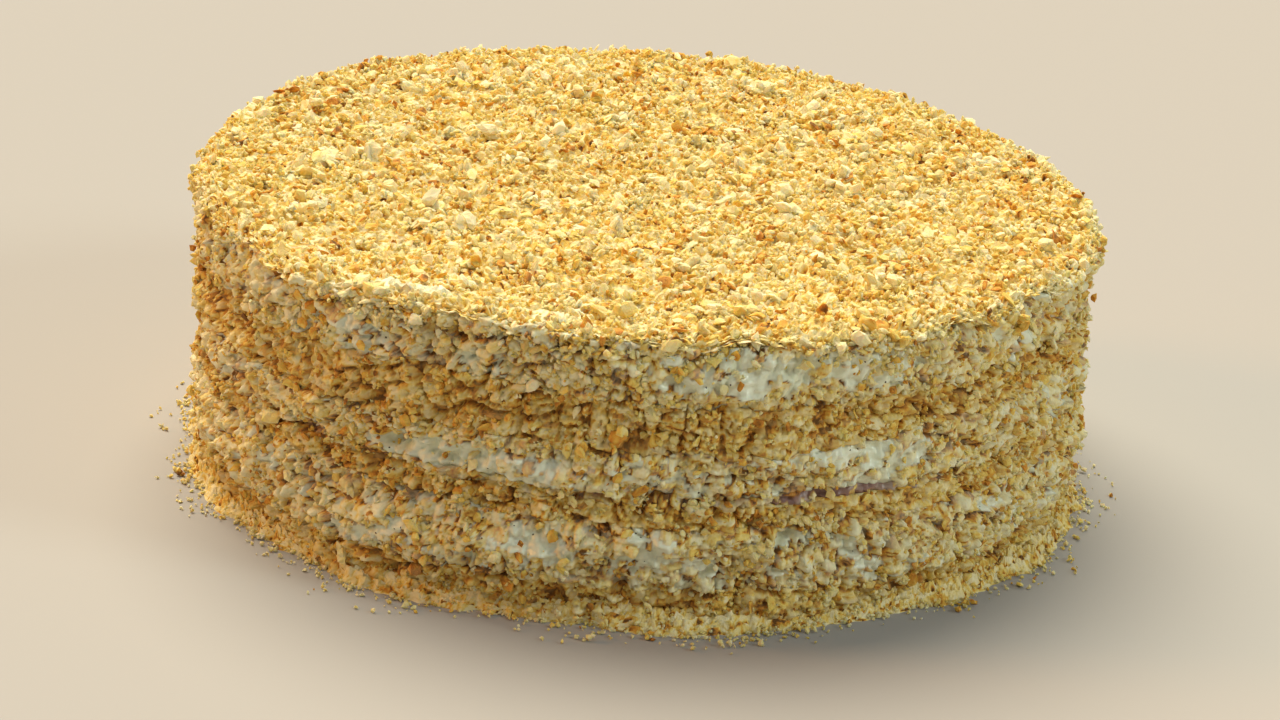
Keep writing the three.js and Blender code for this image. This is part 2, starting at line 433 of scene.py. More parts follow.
def new_piece(name, points, quads, triangles, material, smooth, numbers=None, places=None):
    """A mesh from arrays of points, four-cornered and three-cornered faces, with its numbers for
    each point and the place of each face's corners on its flat map."""
    mesh = bpy.data.meshes.new(name)
    corners = np.concatenate([np.ravel(quads), np.ravel(triangles)]).astype(np.int32)
    starts = np.concatenate(
        [4 * np.arange(len(quads)), 4 * len(quads) + 3 * np.arange(len(triangles))]
    )
    mesh.vertices.add(len(points))
    mesh.vertices.foreach_set("co", np.ascontiguousarray(points, np.float32).ravel())
    mesh.loops.add(len(corners))
    mesh.loops.foreach_set("vertex_index", corners)
    mesh.polygons.add(len(starts))
    mesh.polygons.foreach_set("loop_start", starts.astype(np.int32))
    mesh.polygons.foreach_set("use_smooth", np.full(len(starts), smooth))
    mesh.update(calc_edges=True)
    for key, values in (numbers or {}).items():
        layer = mesh.attributes.new(key, "FLOAT", "POINT")
        layer.data.foreach_set("value", np.ascontiguousarray(values, np.float32).ravel())
    if places is not None:
        layer = mesh.uv_layers.new(name="OFBake", do_init=False)
        layer.uv.foreach_set("vector", np.ascontiguousarray(places, np.float32).ravel())
    mesh.materials.append(material)
    piece = bpy.data.objects.new(name, mesh)
    bpy.context.scene.collection.objects.link(piece)
    return piece


def fit_in(piece, slot, *nodes):
    """The piece rides with the cake and stands for CAD nodes, which are hidden. The slot is not
    used.
    """
    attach(piece, "root")
    if nodes:
        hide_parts(*nodes)
    return piece


NO_QUADS = np.zeros((0, 4), int)
NO_TRIANGLES = np.zeros((0, 3), int)


def band_faces(rings):
    """Four-cornered faces between rings of point numbers, each ring closing on itself, the lowest
    first and each running to the right as seen from outside."""
    after = np.roll(rings, -1, axis=1)
    return np.stack([rings[:-1], after[:-1], after[1:], rings[1:]], -1).reshape(-1, 4)


STRIP_MARGIN = 0.03  # left free above and below each strip, as a share of its height
MAP_MARGIN = 0.01  # and at its ends


def within(share, low=0.0, high=1.0):
    """A share of the way between two levels of a flat map, less the margin at both ends."""
    return low + MAP_MARGIN + (high - low - 2 * MAP_MARGIN) * share


def band_places(rows, columns, strips, low=0.0, high=1.0):
    """The flat map of a closed band of rows: strips of equal length that lie one above the other
    between two levels. Gives the corners of its faces, and of a fan below it and one above."""
    column = np.arange(columns)
    strip = column * strips // columns
    left = column * strips / columns - strip
    right = left + strips / columns
    middle = (left + right) / 2

    def spots(across, row):
        """Places from the way along a strip and the row, with a margin round each strip."""
        across, row = np.broadcast_arrays(np.stack(across, -1), row)
        up = strip[:, None] + STRIP_MARGIN + (1 - 2 * STRIP_MARGIN) * row / (rows + 1)
        return np.stack([within(across), low + (high - low) * up / strips], -1).reshape(-1, 2)

    row = np.arange(1, rows)[:, None, None]
    faces = spots((left, right, right, left), row + np.array([0, 0, 1, 1]))
    under = spots((middle, right, left), np.array([0, 1, 1]))
    over = spots((middle, left, right), np.array([rows + 1, rows, rows]))
    return faces, under, over


def turned(radius, angle, height):
    """Points at a radius, an angle and a height, by the sine and cosine of the angle."""
    x, y, z = np.broadcast_arrays(radius * np.sin(angle), -radius * np.cos(angle), height)
    return np.stack([x, y, z], -1)


STRIPS = 6  # strips of the flat map of a layer and of the heap at the foot


def turned_piece(name, radii, heights, angles, material, numbers):
    """A closed body from rows of radii and heights round the axis, the lowest first, shut by a
    fan of triangles to a point on the axis below and above."""
    rows, columns = radii.shape
    ends = [[0, 0, heights[0].mean()], [0, 0, heights[-1].mean()]]
    points = np.concatenate([turned(radii, angles, heights).reshape(-1, 3), ends])
    rings = np.arange(rows * columns).reshape(rows, columns)
    after = np.roll(rings, -1, axis=1)
    under = np.stack([np.full(columns, rows * columns), after[0], rings[0]], -1)
    over = np.stack([np.full(columns, rows * columns + 1), rings[-1], after[-1]], -1)
    numbers = {k: np.append(v.ravel(), [v[0].mean(), v[-1].mean()]) for k, v in numbers.items()}
    places = np.concatenate(band_places(rows, columns, STRIPS))
    fans = np.concatenate([under, over])
    return new_piece(name, points, band_faces(rings), fans, material, True, numbers, places)


# ---- materials

def linear(hex_colour):
    """An sRGB hex colour as linear red, green, blue and alpha."""
    parts = [int(hex_colour[i : i + 2], 16) / 255 for i in (1, 3, 5)]
    return [c / 12.92 if c <= 0.04045 else ((c + 0.055) / 1.055) ** 2.4 for c in parts] + [1]


def add(material, kind, feeds=None, stops=(), **settings):
    """Adds a node. A setting is a property or, by its name, an input's value. Feeds map an input to
    the output socket, the hex colour or the number that feeds it. Stops are a colour ramp's pairs
    of place and hex colour."""
    node = material.node_tree.nodes.new("ShaderNode" + kind)
    for key, value in settings.items():
        if hasattr(node, key):
            setattr(node, key, value)
        else:
            node.inputs[key.replace("_", " ")].default_value = value
    for key, feed in (feeds or {}).items():
        if isinstance(feed, bpy.types.NodeSocket):
            material.node_tree.links.new(feed, node.inputs[key])
        else:
            node.inputs[key].default_value = linear(feed) if isinstance(feed, str) else feed
    if stops:
        elements = node.color_ramp.elements
        while len(elements) < len(stops):
            elements.new(0.5)
        for element, (place, colour) in zip(elements, stops):
            element.position = place
            element.color = linear(colour)
    return node


def bare_material(name):
    """An empty material with its output node."""
    material = bpy.data.materials.new(name)
    material.use_nodes = True
    material.node_tree.nodes.clear()
    return material


# Baked puff pastry in crumbs: pale where it was inside a sheet, golden to toasted where it browned.
CRUMB_STOPS = [
    (0.0, "#F2E7BC"), (0.3, "#EEDC9B"), (0.52, "#E8CC6C"), (0.68, "#DCAE46"), (0.82, "#CA872C"),
    (1.0, "#6A481C"),
]
CREAM_STOPS = [(0.3, "#D5D8BB"), (0.7, "#EBEED6")]
PASTRY_STOPS = [(0.2, "#A98346"), (0.6, "#CBAA6A"), (0.9, "#DDC48E")]
JAM_STOPS = [(0.38, "#B9AC9C"), (0.52, "#8F7168"), (0.7, "#76544E")]
# Each filling's colours, the roughness of its bare face and how far light soaks into it.
FILLINGS = {
    "cream": (CREAM_STOPS, 0.22, 0.1),
    "pastry": (PASTRY_STOPS, 0.8, 0.0),
    "jam": (JAM_STOPS, 0.3, 0.1),
}


CLOUDS = 9.0 * MM  # paler and darker clouds in a filling
GRAIN = 0.9 * MM  # the grain of pressed crumbs, and the smallest dents in the cream
SPECK_APART = 3.0 * MM  # between the vanilla specks in the cream
SPECK_RADIUS = 0.27 * MM  # drawn a little coarse, so that they show


def tinted(m, mottle, amount, browning):
    """The colour of a browned crumb, made lighter and darker by a mottle round 0.5."""
    toned = add(m, "Math", {0: mottle, 1: amount, 2: browning}, operation="MULTIPLY_ADD")
    level = add(m, "Math", {0: toned.outputs[0], 1: amount / 2}, operation="SUBTRACT")
    return add(m, "ValToRGB", {"Fac": level.outputs[0]}, CRUMB_STOPS).outputs["Color"]


def finished(m, colour, gloss, bump, **settings):
    """Ends a food's material in its shader; pastry, cream and jam all bend light like oil."""
    feeds = {"Base Color": colour, "Roughness": gloss.outputs[0], "Normal": bump.outputs[0]}
    shader = add(m, "BsdfPrincipled", feeds, IOR=1.45, **settings)
    add(m, "OutputMaterial", {"Surface": shader.outputs[0]})
    return m


def coated_material(name, filling):
    """A layer's side: moist filling that shines softly, with dry, matt crumbs where they stick.
    Custard cream has vanilla specks; its gloss ends where a crumb begins."""
    stops, roughness, depth = FILLINGS[filling]
    m = bare_material(name)
    at = {"Vector": add(m, "TexCoord").outputs["Object"]}
    crumbed = add(m, "Attribute", attribute_name="crumbed").outputs["Fac"]
    browning = add(m, "Attribute", attribute_name="browning").outputs["Fac"]
    cloud = add(m, "TexNoise", at, Scale=1 / CLOUDS, Detail=4.0).outputs["Fac"]
    grain = add(m, "TexNoise", at, Scale=1 / GRAIN, Detail=4.0).outputs["Fac"]
    body = add(m, "ValToRGB", {"Fac": cloud}, stops).outputs["Color"]
    if filling == "cream":
        near = add(m, "TexVoronoi", at, Scale=1 / SPECK_APART).outputs["Distance"]
        speck = add(m, "Math", {0: near, 1: SPECK_RADIUS / SPECK_APART}, operation="LESS_THAN")
        spotted = {0: speck.outputs[0], 6: body, 7: "#4A4034"}
        body = add(m, "Mix", spotted, data_type="RGBA").outputs[2]
    coated = {0: crumbed, 6: body, 7: tinted(m, grain, 0.5, browning)}
    colour = add(m, "Mix", coated, data_type="RGBA").outputs[2]
    gloss = add(m, "MapRange", {"Value": crumbed}, To_Min=roughness, To_Max=0.85)
    dents = add(m, "MapRange", {"Value": crumbed}, To_Min=0.3, To_Max=0.8).outputs[0]
    bump = add(m, "Bump", {"Height": grain, "Strength": dents}, Distance=0.6 * MM)
    soak = {"Subsurface_Radius": (4 * MM, 3 * MM, 1.5 * MM), "Subsurface_Scale": 0.5}
    return finished(m, colour, gloss, bump, Subsurface_Weight=depth, **soak)


def crumb_material(name):
    """Loose crumbs of baked puff pastry: dry and matt, each one coloured by how far it browned,
    with a fine mottle and a crumpled surface. Those that lie on the cream wear a thin, moist film
    of it. Patterns follow a crumb's own map, so their scale is counted in its range of browning."""
    m = bare_material(name)
    spot = add(m, "UVMap", uv_map="OFBake").outputs["UV"]
    parts = add(m, "SeparateXYZ", {"Vector": spot}).outputs
    mottle = add(m, "TexNoise", {"Vector": spot}, Scale=90.0, Detail=3.0).outputs["Fac"]
    film = add(m, "MapRange", {"Value": parts["Y"]}, From_Min=0.3, To_Max=0.75).outputs[0]
    filmed = {0: film, 6: tinted(m, mottle, 0.36, parts["X"]), 7: "#DDD9BC"}
    colour = add(m, "Mix", filmed, data_type="RGBA").outputs[2]
    gloss = add(m, "MapRange", {"Value": film}, To_Min=0.8, To_Max=0.35)
    crumple = add(m, "TexNoise", {"Vector": spot}, Scale=16.0, Detail=5.0).outputs["Fac"]
    bump = add(m, "Bump", {"Height": crumple}, Strength=0.45, Distance=1.6 * MM)
    soak = {"Subsurface_Radius": (1.0, 0.7, 0.35), "Subsurface_Scale": 1.2 * MM}
    return finished(m, colour, gloss, bump, Subsurface_Weight=0.45, **soak)


def floor_material():
    """Plain painted board as a studio floor: pale and matt."""
    m = bare_material("studio_floor_matt")
    shader = add(m, "BsdfPrincipled", {"Base Color": "#A5A29E"}, Roughness=0.9)
    add(m, "OutputMaterial", {"Surface": shader.outputs[0]})
    return m


# ---- the layers

COLUMNS = 1512  # about 0.5 mm apart round the cake
ROW_STEP = 0.52 * MM
RAGGED = 1.6 * MM  # how far the edges of the layers wander up and down
RAGGED_EDGE = [(8, 3, 11, 1.0), (2.6, 3, 12, 0.7)]  # by these noises
EDGES_APART = 9.0 * MM  # keeps the noise of one edge clear of the next
CREAM_RISE = 2.6 * MM  # the last cream laps up round the edge of the crumb bed
JAM_RISE = 1.4 * MM  # where the jam shows it is smeared upwards
COAT_SINK = 0.6 * MM  # the cake lies this far inside the felt outline, under its loose crumbs
MOIST_SINK = 0.3 * MM  # the cream lies this much lower where crumbs are pressed in
GAP_PAINTED_SHADE = 0.55  # painted shade: darker in the gaps between clots
PASTRY_BROWNING = 0.15  # the edge of a sheet is browner than the coat
SIDE_DEEPENS, BED_DEEPENS = 1.3, 1.5  # powers that leave most of a coat pale
CAP_INSETS = np.array([3.0, 10.0, 40.0]) * MM  # rings on a layer's hidden faces
CAPS = len(CAP_INSETS)


def layer_top(index, angle):
    """The height of a layer's upper face at the side, by angle: as felt, with a ragged edge. The
    face below the first layer is the floor."""
    if index < 0:
        return np.zeros(np.shape(angle))
    node = LAYERS[index][0]
    ragged = noises(angle * MEAN_RADIUS, EDGES_APART * index, RAGGED_EDGE)
    rise = 0
    if node == "cream_3":
        rise = CREAM_RISE
    if node == "jam":
        rise = JAM_RISE * patches(angle, 0.0, [(c, 0, w, 1, a) for c, _, w, _, a in JAM_BARE])
    return round_the_cake(TOPS[node], angle) + RAGGED * ragged + rise


def build_layer(index, material):
    """A layer through the cake: its side is the felt outline plus lumps, spread cream and the
    coat of crumbs; its two faces are plain rings that lie inside the cake."""
    node, filling = LAYERS[index]
    angle = np.arange(COLUMNS) * TURN / COLUMNS
    low, high = layer_top(index - 1, angle), layer_top(index, angle)
    rows = max(4, round(float((high - low).mean()) / ROW_STEP)) + 1
    share = np.linspace(0, 1, rows)[:, None]
    height = low * (1 - share) + high * share
    turn = np.broadcast_to(angle, height.shape)
    along = turn * MEAN_RADIUS
    grades = FLAKY_GRADES if filling == "pastry" else COAT_GRADES
    cover = {"pastry": full_cover, "cream": side_cover, "jam": jam_cover}[filling]
    relief, browning, crumbed = crumb_coat(along, height, cover, grades, SEED + 100, SPAN)
    # painted shade in the gaps between clots
    browning = browning + GAP_PAINTED_SHADE * side_gaps(along, height)
    if filling == "pastry":
        browning = PASTRY_BROWNING + (1 - PASTRY_BROWNING) * browning
    else:
        relief = np.maximum(relief, spread_cream(along, height) - MOIST_SINK * crumbed)
    radius = outline(turn, height) + side_form(turn, height) - COAT_SINK + relief
    lower = np.stack([radius[0] - inset for inset in CAP_INSETS[::-1]])
    upper = np.stack([radius[-1] - inset for inset in CAP_INSETS])
    radii = np.concatenate([lower, radius, upper])
    numbers = {"crumbed": crumbed, "browning": browning.clip(0, 1) ** SIDE_DEEPENS}
    numbers = {k: np.pad(v, ((CAPS, CAPS), (0, 0)), "edge") for k, v in numbers.items()}
    heights = np.pad(height, ((CAPS, CAPS), (0, 0)), "edge")
    piece = turned_piece("layer_" + node, radii, heights, angle, material, numbers)
    return fit_in(piece, filling, node)


# ---- the bed of crumbs on top

BED_CELLS = 270  # squares across the bed
BED_STRIPS = 4  # strips of the rim on the bed's flat map
BED_SHARE = 0.8  # the share of that map that the upper face takes
RIM_ROUNDING = 3.4 * MM
RIM_ROWS = 15
RIM_LEVEL = 72 * MM  # where the side gives the rim its radius
RIM_LAP = 0.6 * MM  # the rim reaches this far down over the edge of the last cream
RIM_SQUARENESS = 0.8  # 1 is a round rim
RIM_WAY = 8 * MM  # way down the rim for each radian of its bend
RIM_OUT = 0.9 * MM  # the rim stands out a little over the side
RIM_SWAY = 3.0 * MM  # how unevenly it hangs over, by these noises
RIM_SWAYS = [(14, 1, 43, 0.6), (5, 1, 44, 0.4)]
SWAY_OUT, SWAY_DOWN = 0.6, 2.0  # how that moves the core of the rim
BED_SINK = 1.4 * MM  # the core lies this far inside, under the loose crumbs
BACK_RISE = 1.2 * MM  # the bed is this much higher at the back and lower in front
HUMP = (-60 * MM, 85 * MM, 45 * MM, 2.0 * MM)  # a low hump: its place, how wide and how high
BED_HEAPS = [(34, 34, 20, 2.2), (9, 9, 21, 1.3)]
# Where the cream shows on the bed: angle in degrees, radius in mm, half width in degrees, half
# depth in mm, how bare.
BED_BARE = [(-30, 111, 8, 4.5, 0.9), (54, 75, 4, 3.5, 0.8)]
BED_TEARS = [(3, 3, 46, 0.6)]


def rim_sway(angle):
    """How far the rim hangs over at each angle."""
    return RIM_SWAY * noises(angle * MEAN_RADIUS, 0.0, RIM_SWAYS)


def bed_edge(angle):
    """The radius at which the upper face of the bed bends down into the rim."""
    return outline(angle, RIM_LEVEL) - RIM_ROUNDING - BED_SINK + RIM_OUT


def squared_disc(cells):
    """A square lattice laid evenly over a disc of radius 1: rings of squares become circles.
    Gives radius and angle of each lattice point."""
    a, b = np.meshgrid(np.linspace(-1, 1, cells + 1), np.linspace(-1, 1, cells + 1), indexing="xy")
    wide = np.abs(a) > np.abs(b)
    radius = np.where(wide, a, b)
    safe = np.where(radius == 0, 1, radius)
    turn = np.where(wide, math.pi / 4 * b / safe, math.pi / 2 - math.pi / 4 * a / safe)
    x, y = radius * np.cos(turn), radius * np.sin(turn)
    return np.hypot(x, y), np.arctan2(x, -y)


def bed_height(x, y):
    """The upper face of the bed: the CAD bed's height, gently uneven, leaning forward a little."""
    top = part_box(BED)[1].z - 0.4 * MM + BACK_RISE * y / MEAN_RADIUS
    top = top + HUMP[3] * np.exp(-((x - HUMP[0]) ** 2 + (y - HUMP[1]) ** 2) / HUMP[2] ** 2)
    return top + noises(x, y, BED_HEAPS, None) * MM


def bed_cover(x, y):
    """The share of the bed that crumbs cover."""
    torn = patches(np.arctan2(x, -y), np.hypot(x, y), BED_BARE) + noises(x, y, BED_TEARS, None)
    return crumbs_left(torn, *BED_THINS)


def build_bed(material):
    """The core of the crumb bed: a disc of pressed crumbs whose rim bends down over the side by a
    quarter turn, and rings under it that close it."""
    radius, angle = squared_disc(BED_CELLS)
    inner = bed_edge(angle)
    x, y = radius * inner * np.sin(angle), -radius * inner * np.cos(angle)
    relief, browning, _ = crumb_coat(x, y, bed_cover, COAT_GRADES, SEED + 120)
    height = bed_height(x, y) - BED_SINK * bed_cover(x, y) + relief
    size = BED_CELLS + 1
    index = np.arange(size * size).reshape(size, size)
    edge = np.concatenate([index[0, :-1], index[:-1, -1], index[-1, :0:-1], index[:0:-1, 0]])
    quads = [index[:-1, :-1], index[:-1, 1:], index[1:, 1:], index[1:, :-1]]
    quads = np.stack(quads, -1).reshape(-1, 4)

    turn = angle.ravel()[edge]
    bend = np.linspace(0, math.pi / 2, RIM_ROWS + 1)[1:, None]
    start = height.ravel()[edge]
    drop = start - float(TOPS["cream_3"].mean()) - CREAM_RISE + RIM_LAP + SWAY_DOWN * rim_sway(turn)
    along = np.broadcast_to(turn * MEAN_RADIUS, (RIM_ROWS, len(edge)))
    coat, brown, _ = crumb_coat(along, bend * RIM_WAY, full_cover, COAT_GRADES, SEED + 130, SPAN)
    reach = RIM_ROUNDING + SWAY_OUT * rim_sway(turn) + coat
    radii = inner.ravel()[edge] + reach * np.sin(bend)
    levels = start - drop * (1 - np.cos(bend)) ** RIM_SQUARENESS + coat * np.cos(bend)
    radii = np.concatenate([radii, np.stack([radii[-1] - inset for inset in CAP_INSETS])])
    levels, brown = (np.pad(values, ((0, CAPS), (0, 0)), "edge")[::-1] for values in (levels, brown))
    band = turned(radii[::-1], turn, levels)
    count = len(edge)
    tip = size * size + len(radii) * count
    rings = size * size + np.arange(len(radii) * count).reshape(-1, count)
    rings = np.concatenate([rings, edge[None, :]])
    points = [np.stack([x, y, height], -1).reshape(-1, 3), band.reshape(-1, 3)]
    points = np.concatenate([*points, [[0, 0, levels[0].mean()]]])
    fan = np.stack([np.full(count, tip), np.roll(rings[0], -1), rings[0]], -1)
    brown = np.concatenate([browning.ravel(), brown.ravel(), [0.5]]) ** BED_DEEPENS
    numbers = {"browning": brown, "crumbed": bed_cover(points[:, 0], points[:, 1])}
    across, up = index % size / size, index // size / size
    flat = np.stack([within(across), within(up, 0.0, BED_SHARE)], -1).reshape(-1, 2)[quads]
    sides, under, _ = band_places(len(rings), count, BED_STRIPS, BED_SHARE, 1.0)
    places = np.concatenate([flat.reshape(-1, 2), sides, under])
    quads = np.concatenate([quads, band_faces(rings)])
    piece = new_piece("crumb_bed", points, quads, fan, material, False, numbers, places)
    return fit_in(piece, "crumbs", BED)


# ---- the heap at the foot

FOOT_PROFILE = 16  # rows over the heap
FOOT_LOOSE = 3.0 * MM  # the outermost crumbs of the heap lie loose, this far past its core
FOOT_EDGE = soften(felt_ring(tree_of([FOOT]), FOOT_LEVEL, np.zeros(PROBE_ANGLES)), ROUND_WAVES)
FOOT_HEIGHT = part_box(FOOT)[1].z
FOOT_FRAYS = [(7, 1, 31, 3.0), (26, 1, 34, 4.0), (2.2, 1, 32, 1.8)]  # how its edge wanders
FOOT_DRAWN_IN = 2.73 * MM  # the frays draw the edge in by this in the mean
FOOT_HEAPS, MEAN_HEAP = [(11, 1, 33, 0.6)], 0.85  # how its height varies
FOOT_UNDER = 2.5 * MM  # it reaches this far in under the side
FOOT_BACK = 3.0 * MM  # and its back face lies this much farther in
FOOT_SLANT = FOOT_HEIGHT + 4.0 * MM  # the way up its face
FOOT_HOLLOW = 1.1  # 1 is a straight slope
FOOT_RELIEF, FOOT_FLATTENS = 0.9, 3  # its relief, and how soon that ends towards the floor
# painted shade: the heap at the foot is browned a little more all over, for the shade at the foot of
# the cake
FOOT_PAINTED_SHADE = 0.1


def foot_surface(angle, share):
    """Radius and height on the heap, from its outer edge on the floor (0) to the cake (1)."""
    along = angle * MEAN_RADIUS
    outer = round_the_cake(FOOT_EDGE, angle) - FOOT_LOOSE - FOOT_DRAWN_IN
    outer = outer + noises(along, 0.0, FOOT_FRAYS) * MM
    inner = outline(angle, FOOT_HEIGHT) - FOOT_UNDER
    heap = MEAN_HEAP + noises(along, 0.0, FOOT_HEAPS)
    return outer * (1 - share) + inner * share, FOOT_HEIGHT * share**FOOT_HOLLOW * heap


def build_foot(material):
    """The core of the heap: a low ring of crumbs whose face rises from the floor to the cake."""
    angle = np.arange(COLUMNS) * TURN / COLUMNS
    turn, share = np.broadcast_arrays(angle, np.linspace(0, 1, FOOT_PROFILE)[:, None])
    radius, height = foot_surface(turn, share)
    along, up = turn * MEAN_RADIUS, share * FOOT_SLANT
    relief, browning, _ = crumb_coat(along, up, full_cover, COAT_GRADES, SEED + 140, SPAN)
    height = (height + FOOT_RELIEF * relief * np.minimum(1, FOOT_FLATTENS * share)).clip(0)
    back = radius[-1:] - FOOT_BACK
    radii = np.concatenate([back, radius, back])
    heights = np.concatenate([0 * back, height, height[-1:]])
    rings = np.arange(radii.size).reshape(-1, COLUMNS)
    rings = np.concatenate([rings, rings[:1]])
    browning = np.pad(browning, ((1, 1), (0, 0)), "edge")
    browning = (FOOT_PAINTED_SHADE + (1 - FOOT_PAINTED_SHADE) * browning) ** BED_DEEPENS
    numbers = {"browning": browning, "crumbed": np.ones(radii.shape)}
    piece = new_piece(
        "foot_heap",
        turned(radii, angle, heights).reshape(-1, 3),
        band_faces(rings),
        NO_TRIANGLES,
        material,
        False,
        numbers,
        band_places(len(rings), COLUMNS, STRIPS)[0],
    )
    return fit_in(piece, "crumbs", FOOT)


# ---- loose crumbs

def ball(rings, around):
    """A ball of triangles: a point at each pole and rings of points between them, each ring
    turned by half a step from the one below."""
    tip = np.arange(1, rings + 1) * math.pi / (rings + 1)
    turn = (np.arange(around)[None, :] + 0.5 * np.arange(rings)[:, None]) * TURN / around
    across = np.sin(tip)[:, None]
    body = np.stack(
        [across * np.cos(turn), across * np.sin(turn), np.cos(tip)[:, None] + 0 * turn], -1
    )
    corners = np.concatenate([body.reshape(-1, 3), [[0, 0, 1], [0, 0, -1]]])
    ring = np.arange(rings * around).reshape(rings, around)
    after = np.roll(ring, -1, axis=1)
    north = np.stack([np.full(around, rings * around), ring[0], after[0]], -1)
    south = np.stack([np.full(around, rings * around + 1), after[-1], ring[-1]], -1)
    upper = np.stack([ring[:-1], ring[1:], after[:-1]], -1).reshape(-1, 3)
    lower = np.stack([after[:-1], ring[1:], after[1:]], -1).reshape(-1, 3)
    return corners, np.concatenate([north, south, upper, lower])


def unit(vectors):
    """Vectors brought to a length of 1."""
    return vectors / np.linalg.norm(vectors, axis=-1, keepdims=True)


def frames_on(normals, tilt, rng):
    """For each place three axes: two along the surface, turned at random, and the third near its
    normal, tilted by up to about so many radians."""
    up = unit(normals + rng.normal(0, tilt, (len(normals), 3)))
    side = unit(np.cross(up, rng.normal(0, 1, (len(normals), 3))))
    return np.stack([side, np.cross(up, side), up], 1)


KNOB_OUT, KNOB_SIZE = (0.2, 0.65), (0.22, 0.5)  # in radii of the ball
LEAST_REACH = 0.45
PART_APART, PART_REACH = 0.22, 0.36  # balls of a bit lie apart by this, and by this at most
PART_SIZE = (0.4, 0.75)  # of the whole bit
PART_TONE, CORNER_TONE, CORNER_FILM = 0.07, 0.1, 0.05  # how browning and film vary in a bit
FLAKE_BEND = 0.3
MAP_EDGE = 0.005  # a bit's map keeps off the edge by this
DARK_TONES = (0.6, 0.22)  # toasted crumbs: the least browning, and up to this much more
TONE_SPREAD = (0.2, 1.6)  # the rest: browning from this to this much more of the usual


def knobbly(corners, count, knobs, rng):
    """How far each corner of a ball is from the middle in each of so many crumbs: the farthest
    reach of several small balls that overlap round the middle, so that they meet in creases."""
    centres = unit(rng.normal(0, 1, (count, knobs, 3)))
    centres = centres * rng.uniform(*KNOB_OUT, (count, knobs, 1))
    size = rng.uniform(*KNOB_SIZE, (count, knobs, 1))
    toward = np.einsum("nbk,vk->nbv", centres, corners)
    past = toward**2 + size**2 - (centres**2).sum(2, keepdims=True)
    reach = np.where(past > 0, toward + np.sqrt(past.clip(0)), 0).max(1).clip(LEAST_REACH)
    return reach / reach.max(1, keepdims=True)


def broken_pieces(name, places, normals, sizes, browning, film, shape, material, seed):
    """Joins one broken bit of pastry for each place into a piece. A bit is a few knobbly balls
    that lie against each other, each squashed to three sizes, with each corner pulled in or out
    by chance and bent like a flake. Its map holds the browning across and the film of cream up."""
    fineness, parts, knobs, rough, tilt = shape
    rng = np.random.default_rng(seed)
    corners, faces = ball(*fineness)
    if parts > 1:
        frames = frames_on(normals, tilt, rng)
        apart = rng.normal(0, PART_APART, (len(places), parts, 3)).clip(-PART_REACH, PART_REACH)
        apart = np.einsum("npk,nkj->npj", apart * sizes[:, None, :], frames)
        places = (places[:, None] + apart).reshape(-1, 3)
        normals = np.repeat(frames[:, 2], parts, 0)
        shrink = rng.uniform(*PART_SIZE, (len(sizes), parts, 1))
        sizes = (sizes[:, None] * shrink).reshape(-1, 3)
        browning = np.repeat(browning, parts) + rng.normal(0, PART_TONE, len(places))
        film = np.repeat(film, parts)
    count = len(places)
    pull = knobbly(corners, count, knobs, rng) * np.exp(rng.normal(0, rough, (count, len(corners))))
    local = corners[None] * pull[..., None]
    local[:, :, 2] += rng.normal(0, FLAKE_BEND, (count, 1)) * local[:, :, 0] ** 2
    local = local * sizes[:, None, :] / 2
    points = np.einsum("nvk,nkj->nvj", local, frames_on(normals, tilt, rng)) + places[:, None, :]
    points[..., 2] -= points[..., 2].min(1, keepdims=True).clip(None, 0)  # up onto the floor
    all_faces = (faces[None] + (np.arange(count) * len(corners))[:, None, None]).reshape(-1, 3)
    browned = browning[:, None] + rng.normal(0, CORNER_TONE, (count, len(corners)))
    coated = film[:, None] + rng.normal(0, CORNER_FILM, (count, len(corners)))
    flat = np.stack([browned, coated], -1).clip(MAP_EDGE, 1 - MAP_EDGE).reshape(-1, 2)
    flat = flat[all_faces.ravel()]
    points = points.reshape(-1, 3)
    piece = new_piece(name, points, NO_QUADS, all_faces, material, False, None, flat)
    return fit_in(piece, "crumbs")


def crumb_browning(count, rng, tone, toast):
    """How far each crumb browned: most lie round a pale or golden tone and a share is toasted."""
    usual = tone * (TONE_SPREAD[0] + TONE_SPREAD[1] * rng.beta(2, 2, count))
    dark = DARK_TONES[0] + DARK_TONES[1] * rng.random(count)
    return np.where(rng.random(count) < toast, dark, usual)


def layer_at(places):
    """For each place which layer lies behind it, counted from the bottom."""
    angle = np.arctan2(places[:, 0], -places[:, 1])
    return sum((places[:, 2] > layer_top(i, angle)).astype(int) for i in range(len(LAYERS) - 1))


SMALL_MANY = 1.8  # a power: the higher, the fewer large crumbs
WIDTHS = (0.6, 0.95)  # of the length
TOP_IN = 1.5 * MM  # crumbs on the bed keep in from the side by this
ROUND_RIM, RIM_LEAN, FOOT_LEAN = 0.6, 0.5, 0.35  # how crumbs lean with the rim and the heap
FOOT_OUTER = 1.3  # a power: the higher, the more crumbs lie on the outer side of the heap
SIDE_CRUMBED = (4.0, 73.0)  # the heights in mm between which loose crumbs stick
IN_GAPS = 0.8  # this share of the crumbs is missing from the gaps
STRAYS, STRAY_CLUSTERS = 0.25, 0.5  # the share of strays at the foot, and more in a cluster
THROWN, THROWN_CLUSTERS = 0.4, 1.2  # how much of their spill they go, and more in a cluster
MOST_THROWN = 3  # spills
LIE = 0.4 * MM  # the middle of a crumb lies this high
RIM_CLUSTERS = (0.25, 0.75)  # the share of crumbs between clusters on the rim, and more in them
HANGS, HANGS_IN_CLUSTERS, HANGS_MOSTLY = 1.0 * MM, 9.0 * MM, 1.5  # how far they hang down
RIM_DOWN, RIM_FORWARD, RIM_ROUNDS = 1.2 * MM, 0.6, 1.4 * MM
DRAWN = 4  # so many times more places are drawn than crumbs are needed


def clusters(along, pitch, seed):
    """Where crumbs cluster along the rim or the foot: soft noise from 0 to 1."""
    return smooth_noise(along, 0.0, pitch * MM, MM, SEED + seed, SPAN)


